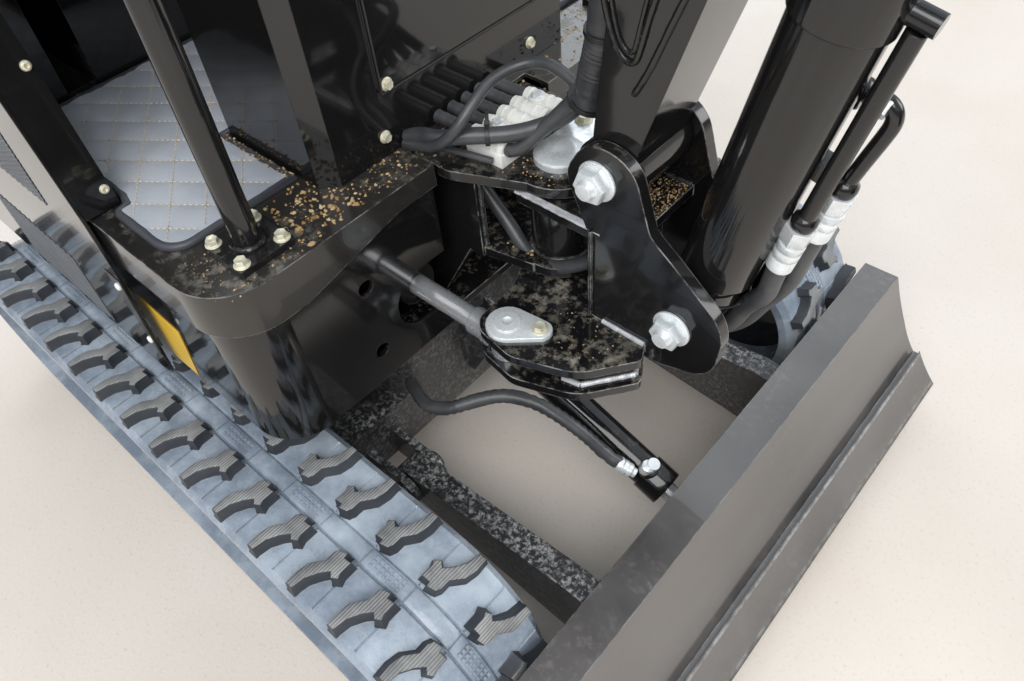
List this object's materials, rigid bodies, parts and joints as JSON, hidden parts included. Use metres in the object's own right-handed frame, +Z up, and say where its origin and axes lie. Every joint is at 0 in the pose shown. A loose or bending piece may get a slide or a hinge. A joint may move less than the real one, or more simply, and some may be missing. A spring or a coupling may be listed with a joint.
{
  "type": "mini excavator",
  "caption": "Compact tracked excavator with a canopy, dozer blade, swinging boom, arm and bucket, all on working pivots.",
  "frame": {"origin": "on the ground, at the centre of the machine's box seen from above", "axes": "+X forwards, towards the blade and the boom, +Y to the machine's left, +Z up"},
  "size_m": [2.4268, 0.946, 2.29],
  "materials": {
    "black_paint": "gloss black enamel",
    "track_rubber": "moulded rubber, dusty on the lugs",
    "cast_steel": "cast and turned steel",
    "zinc": "bright zinc plate",
    "chrome_rod": "ground and chromed",
    "seat_vinyl": "black vinyl",
    "mat": "quilted with beige stitching",
    "hose_rubber": "hydraulic hose, dull",
    "clamp_plastic": "moulded white",
    "knob_plastic": "moulded"
  },
  "bodies": {
    "undercarriage": {"lower_frame": "black_paint", "track_frames": "black_paint", "track_left": "track_rubber", "track_right": "track_rubber", "sprockets": "cast_steel", "idlers": "black_paint", "rollers": "cast_steel", "travel_motors": "black_paint", "slew_ring": "cast_steel"},
    "upper": {"upper_frame": "black_paint", "kingpin": "zinc", "floor_plate": "black_paint", "front_skirts": "black_paint", "side_cover_left": "black_paint", "side_cover_right": "black_paint", "counterweight": "black_paint", "engine": "cast_steel", "seat_box": "black_paint", "seat": "seat_vinyl", "floor_mats": "mat", "console": "black_paint", "control_levers": "knob_plastic", "canopy_posts": "black_paint", "canopy_roof": "black_paint", "exhaust": "cast_steel", "hose_clamp": "clamp_plastic", "nose_hoses": "hose_rubber"},
    "hood": {"engine_hood": "black_paint"},
    "blade": {"blade_moldboard": "black_paint", "blade_arms": "black_paint"},
    "blade_barrel": {"blade_cylinder_barrel": "black_paint"},
    "blade_rod": {"blade_cylinder_rod": "chrome_rod"},
    "swing_barrel": {"swing_cylinder_barrel": "black_paint"},
    "swing_rod": {"swing_cylinder_rod": "chrome_rod"},
    "bracket": {"swing_bracket": "black_paint", "bracket_pins": "zinc"},
    "boom": {"boom": "black_paint", "boom_hoses": "hose_rubber"},
    "boom_barrel": {"boom_cylinder_barrel": "black_paint", "boom_cylinder_line": "black_paint"},
    "boom_rod": {"boom_cylinder_rod": "chrome_rod"},
    "arm": {"arm": "black_paint"},
    "arm_barrel": {"arm_cylinder_barrel": "black_paint"},
    "arm_rod": {"arm_cylinder_rod": "chrome_rod"},
    "bucket": {"bucket": "black_paint"},
    "bucket_barrel": {"bucket_cylinder_barrel": "black_paint"},
    "bucket_rod": {"bucket_cylinder_rod": "chrome_rod"},
    "rocker": {"rocker_links": "black_paint"},
    "push_link": {"push_link": "black_paint"}
  },
  "joints": [
    {"name": "slew", "type": "hinge", "parent": "undercarriage", "child": "upper", "pos_m": [-0.4535, 0, 0.34], "axis": [0, 0, 1], "continuous": true},
    {"name": "hood", "type": "hinge", "parent": "upper", "child": "hood", "pos_m": [-0.9585, 0, 0.935], "axis": [0, 1, 0], "range_deg": [0, 60]},
    {"name": "blade", "type": "hinge", "parent": "undercarriage", "child": "blade", "pos_m": [-0.1785, 0, 0.13], "axis": [0, -1, 0], "range_deg": [-25, 18]},
    {"name": "blade_barrel_swing", "type": "hinge", "parent": "undercarriage", "child": "blade_barrel", "pos_m": [-0.2185, 0, 0.238], "axis": [0, -1, 0], "range_deg": [-22, 16]},
    {"name": "blade_rod_slide", "type": "slide", "parent": "blade_barrel", "child": "blade_rod", "axis": [0.9368, 0, -0.3498], "range_m": [-0.06, 0.06]},
    {"name": "boom_swing", "type": "hinge", "parent": "upper", "child": "bracket", "pos_m": [-0.0705, 0, 0.455], "axis": [0, 0, 1], "range_deg": [-38, 55]},
    {"name": "swing_barrel_turn", "type": "hinge", "parent": "upper", "child": "swing_barrel", "pos_m": [-0.5335, -0.135, 0.455], "axis": [0, 0, 1], "range_deg": [-10, 10]},
    {"name": "swing_rod_slide", "type": "slide", "parent": "swing_barrel", "child": "swing_rod", "axis": [1, 0.0082, 0], "range_m": [-0.12, 0.12]},
    {"name": "boom", "type": "hinge", "parent": "bracket", "child": "boom", "pos_m": [0.0255, 0, 0.669], "axis": [0, 1, 0], "range_deg": [-18, 75]},
    {"name": "boom_barrel_swing", "type": "hinge", "parent": "bracket", "child": "boom_barrel", "pos_m": [0.1215, 0, 0.528], "axis": [0, 1, 0], "range_deg": [-20, 75]},
    {"name": "boom_rod_slide", "type": "slide", "parent": "boom_barrel", "child": "boom_rod", "axis": [0.2088, 0, 0.978], "range_m": [-0.22, 0.06]},
    {"name": "arm", "type": "hinge", "parent": "boom", "child": "arm", "pos_m": [0.6675, 0, 1.644], "axis": [0, -1, 0], "range_deg": [-33, 82]},
    {"name": "arm_barrel_swing", "type": "hinge", "parent": "boom", "child": "arm_barrel", "pos_m": [0.1115, 0, 1.44], "axis": [0, -1, 0], "range_deg": [-8, 4]},
    {"name": "arm_rod_slide", "type": "slide", "parent": "arm_barrel", "child": "arm_rod", "axis": [0.818, 0, 0.5752], "range_m": [-0.22, 0.1]},
    {"name": "bucket", "type": "hinge", "parent": "arm", "child": "bucket", "pos_m": [0.90179, 0, 0.82693], "axis": [0, 1, 0], "range_deg": [-66, 66]},
    {"name": "rocker", "type": "hinge", "parent": "arm", "child": "rocker", "pos_m": [0.86045, 0, 0.97112], "axis": [0, 1, 0], "range_deg": [-66, 66]},
    {"name": "push_link", "type": "hinge", "parent": "rocker", "child": "push_link", "pos_m": [1.00463, 0, 1.01246], "axis": [0, 1, 0], "range_deg": [-66, 66]},
    {"name": "bucket_barrel_swing", "type": "hinge", "parent": "arm", "child": "bucket_barrel", "pos_m": [0.81075, 0, 1.51447], "axis": [0, -1, 0], "range_deg": [-8, 8]},
    {"name": "bucket_rod_slide", "type": "slide", "parent": "bucket_barrel", "child": "bucket_rod", "axis": [0.3603, 0, -0.9328], "range_m": [-0.15, 0.15]}
  ],
  "couplings": [
    {"joint": "blade_barrel_swing", "follows": "blade", "ratio": 0.81},
    {"joint": "blade_rod_slide", "follows": "blade", "m_per_rad": -0.0802},
    {"joint": "swing_barrel_turn", "follows": "boom_swing", "ratio": 0.08},
    {"joint": "swing_rod_slide", "follows": "boom_swing", "m_per_rad": 0.11459},
    {"joint": "boom_barrel_swing", "follows": "boom", "ratio": 0.92},
    {"joint": "boom_rod_slide", "follows": "boom", "m_per_rad": -0.15011},
    {"joint": "arm_barrel_swing", "follows": "arm", "ratio": -0.03},
    {"joint": "arm_rod_slide", "follows": "arm", "m_per_rad": -0.1375},
    {"joint": "rocker", "follows": "bucket", "ratio": 1},
    {"joint": "push_link", "follows": "bucket", "ratio": -1},
    {"joint": "bucket_barrel_swing", "follows": "bucket", "ratio": 0.01},
    {"joint": "bucket_rod_slide", "follows": "bucket", "m_per_rad": 0.1185}
  ]
}
